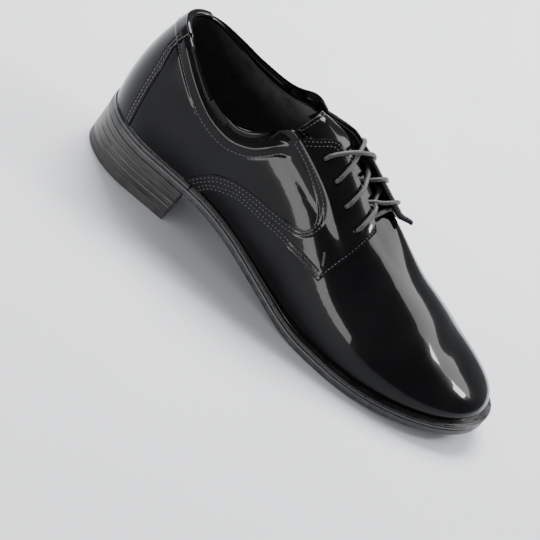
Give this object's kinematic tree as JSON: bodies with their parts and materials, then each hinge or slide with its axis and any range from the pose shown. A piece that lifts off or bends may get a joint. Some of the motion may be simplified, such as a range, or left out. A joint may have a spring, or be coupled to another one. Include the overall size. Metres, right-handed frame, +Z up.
{
  "type": "derby dress shoe",
  "caption": "Right-foot plain-toe lace-up dress shoe in black patent leather with open lacing, welted sole, stacked heel and a hinged tongue.",
  "frame": {"origin": "bottom centre of the bounding box, on the floor plane under the heel and ball treads", "axes": "+Z up, toe toward -Y, heel toward +Y, lateral (outer) side toward -X, medial side toward +X"},
  "size_m": [0.1106, 0.3002, 0.1089],
  "materials": {
    "outsole_rubber": "matte moulded rubber",
    "welt_rubber": "satin black edge",
    "heel_rubber": "matte rubber",
    "stacked_heel": "stacked, stained dark and polished",
    "insole_board": "plain board",
    "cork": "granular",
    "shank_steel": "plain",
    "sock_leather": "soft matte",
    "patent_leather": "high gloss patent",
    "lining_leather": "matte",
    "stiffener": "resin-stiffened cloth",
    "collar_foam": "open foam",
    "lace_cotton": "waxed round braid",
    "aglet_plastic": "glossy",
    "eyelet_metal": "blackened"
  },
  "bodies": {
    "shoe": {"outsole": "outsole_rubber", "welt": "welt_rubber", "heel_rand": "welt_rubber", "top_piece": "heel_rubber", "heel_lift_1": "stacked_heel", "heel_lift_2": "stacked_heel", "heel_lift_3": "stacked_heel", "heel_lift_4": "stacked_heel", "insole": "insole_board", "heel_seat": "insole_board", "cork_filler": "cork", "shank": "shank_steel", "sock_lining": "sock_leather", "vamp": "patent_leather", "facing_lateral": "patent_leather", "facing_medial": "patent_leather", "quarter_lateral": "patent_leather", "quarter_medial": "patent_leather", "backstrap": "patent_leather", "vamp_lining": "lining_leather", "quarter_lining_lateral": "lining_leather", "quarter_lining_medial": "lining_leather", "toe_puff": "stiffener", "heel_counter": "stiffener", "collar_padding": "collar_foam", "lace": "lace_cotton", "aglet_lateral": "aglet_plastic", "aglet_medial": "aglet_plastic", "eyelet_lateral_1": "eyelet_metal", "eyelet_lateral_2": "eyelet_metal", "eyelet_lateral_3": "eyelet_metal", "eyelet_lateral_4": "eyelet_metal", "eyelet_medial_1": "eyelet_metal", "eyelet_medial_2": "eyelet_metal", "eyelet_medial_3": "eyelet_metal", "eyelet_medial_4": "eyelet_metal"},
    "tongue": {"tongue": "patent_leather", "tongue_lining": "lining_leather"}
  },
  "joints": [
    {"name": "tongue_hinge", "type": "hinge", "parent": "shoe", "child": "tongue", "pos_m": [-0.00148, -0.01614, 0.07975], "axis": [1, 0, 0], "range_deg": [-12, 0], "stiffness_Nm_per_rad": 0.02}
  ]
}
